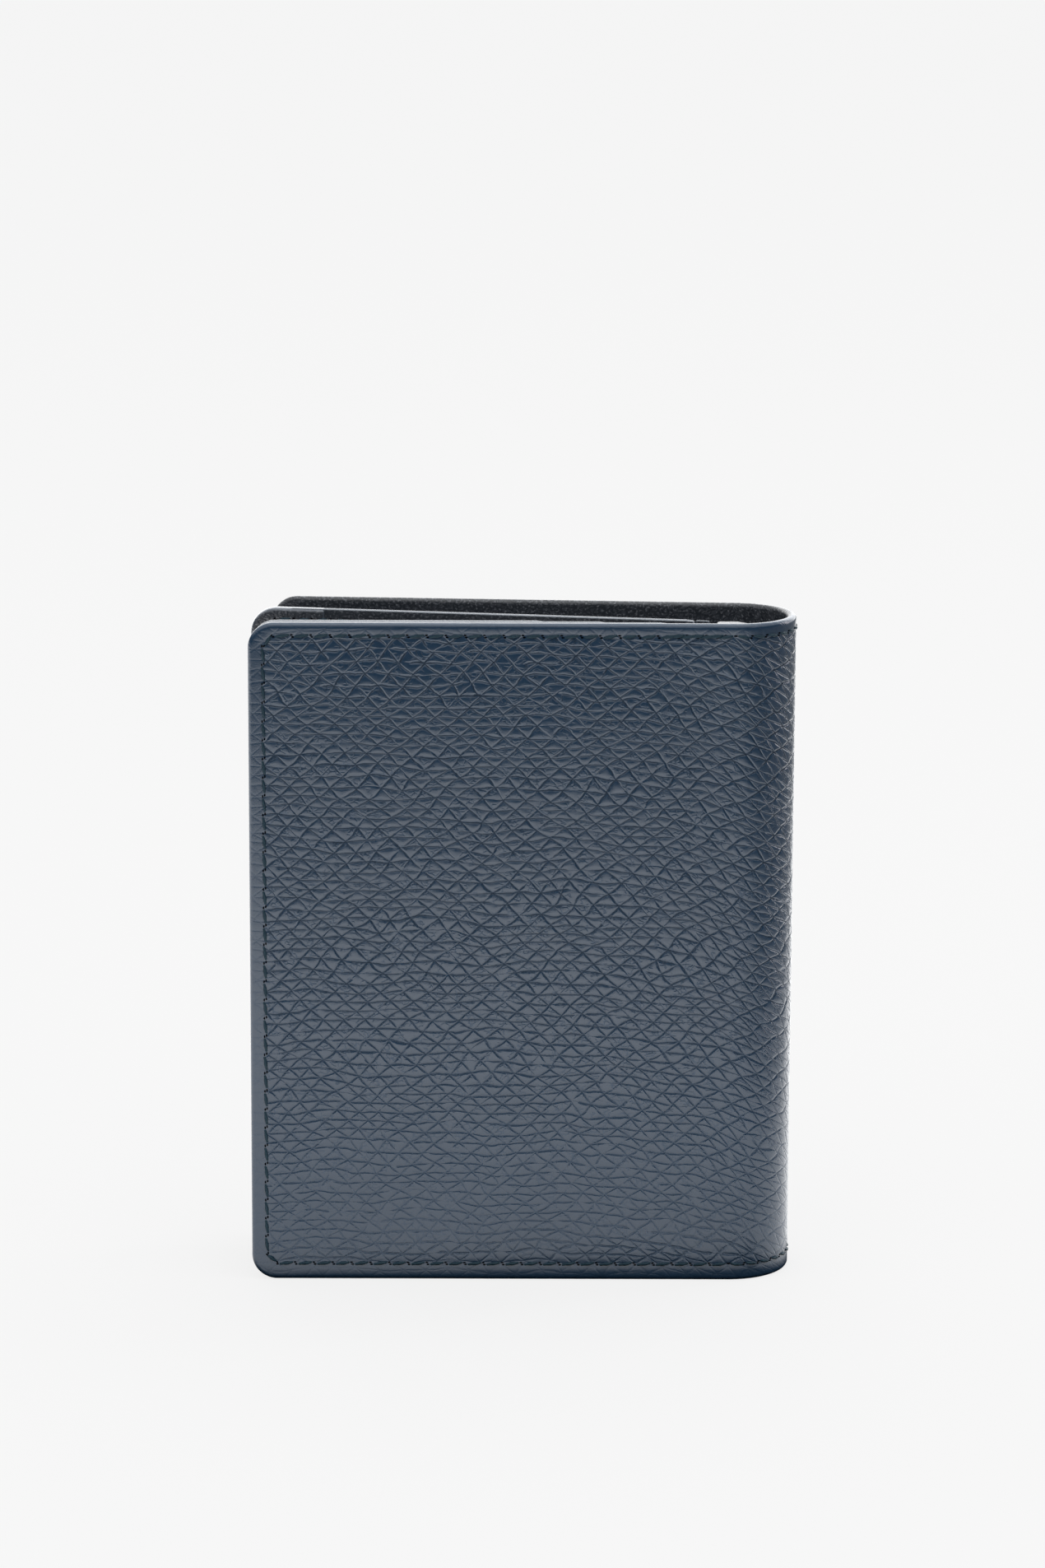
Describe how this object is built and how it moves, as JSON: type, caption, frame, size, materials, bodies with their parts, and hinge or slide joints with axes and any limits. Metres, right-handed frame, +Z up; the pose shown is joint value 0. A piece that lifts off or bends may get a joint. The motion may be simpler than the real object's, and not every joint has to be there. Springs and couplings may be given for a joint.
{
  "type": "card holder",
  "caption": "Small upright bifold card holder in pebbled leather with a round spine, stitched edges, staggered card pockets and a hinged inner leaf.",
  "frame": {"origin": "centre of the footprint, on the surface that the holder stands on", "axes": "+Z up along the covers' height, +X from the free edges to the spine, +Y from the front cover to the back cover"},
  "size_m": [0.088, 0.0258, 0.11],
  "materials": {
    "grained_leather": "pebbled, soft satin",
    "smooth_leather": "fine grained, satin",
    "lining_cloth": "fine twill, matt",
    "fibre_board": "matt fibre board",
    "sewing_thread": "twisted waxed thread"
  },
  "bodies": {
    "back_cover": {"back_leather": "grained_leather", "back_board": "fibre_board", "back_seam_thread": "sewing_thread", "back_lining": "lining_cloth", "bill_panel": "smooth_leather", "back_card_pocket_1": "smooth_leather", "back_card_pocket_2": "smooth_leather", "back_card_pocket_3": "smooth_leather"},
    "spine_rear": {"spine_rear_leather": "grained_leather", "spine_rear_lining": "smooth_leather"},
    "spine_middle": {"spine_middle_leather": "grained_leather", "spine_middle_lining": "smooth_leather"},
    "spine_front": {"spine_front_leather": "grained_leather", "spine_front_lining": "smooth_leather"},
    "front_cover": {"front_leather": "grained_leather", "front_board": "fibre_board", "front_seam_thread": "sewing_thread", "front_inner_panel": "smooth_leather", "front_card_pocket_1": "smooth_leather", "front_card_pocket_2": "smooth_leather", "front_card_pocket_3": "smooth_leather", "leaf_hinge_tab": "smooth_leather"},
    "leaf": {"leaf_hinge_strip": "smooth_leather", "leaf_front_panel": "smooth_leather", "leaf_rear_panel": "smooth_leather", "leaf_end_binding": "smooth_leather"}
  },
  "joints": [
    {"name": "cover_fold", "type": "hinge", "parent": "back_cover", "child": "spine_rear", "pos_m": [0.03754, 0.01223, 0.055], "axis": [0, 0, 1], "range_deg": [-0.75, 44]},
    {"name": "rear_spine_fold", "type": "hinge", "parent": "spine_rear", "child": "spine_middle", "pos_m": [0.04306, 0.00689, 0.055], "axis": [0, 0, 1], "range_deg": [-0.75, 44]},
    {"name": "front_spine_fold", "type": "hinge", "parent": "spine_middle", "child": "spine_front", "pos_m": [0.04333, -0.00078, 0.055], "axis": [0, 0, 1], "range_deg": [-0.75, 44]},
    {"name": "front_cover_fold", "type": "hinge", "parent": "spine_front", "child": "front_cover", "pos_m": [0.03819, -0.00648, 0.055], "axis": [0, 0, 1], "range_deg": [-0.75, 44]},
    {"name": "leaf_turn", "type": "hinge", "parent": "front_cover", "child": "leaf", "pos_m": [0.03028, -0.00283, 0.055], "axis": [0, 0, -1], "range_deg": [-1.5, 88]}
  ],
  "couplings": [
    {"joint": "rear_spine_fold", "follows": "cover_fold", "ratio": 1},
    {"joint": "front_spine_fold", "follows": "cover_fold", "ratio": 1},
    {"joint": "front_cover_fold", "follows": "cover_fold", "ratio": 1},
    {"joint": "leaf_turn", "follows": "cover_fold", "ratio": 2}
  ]
}
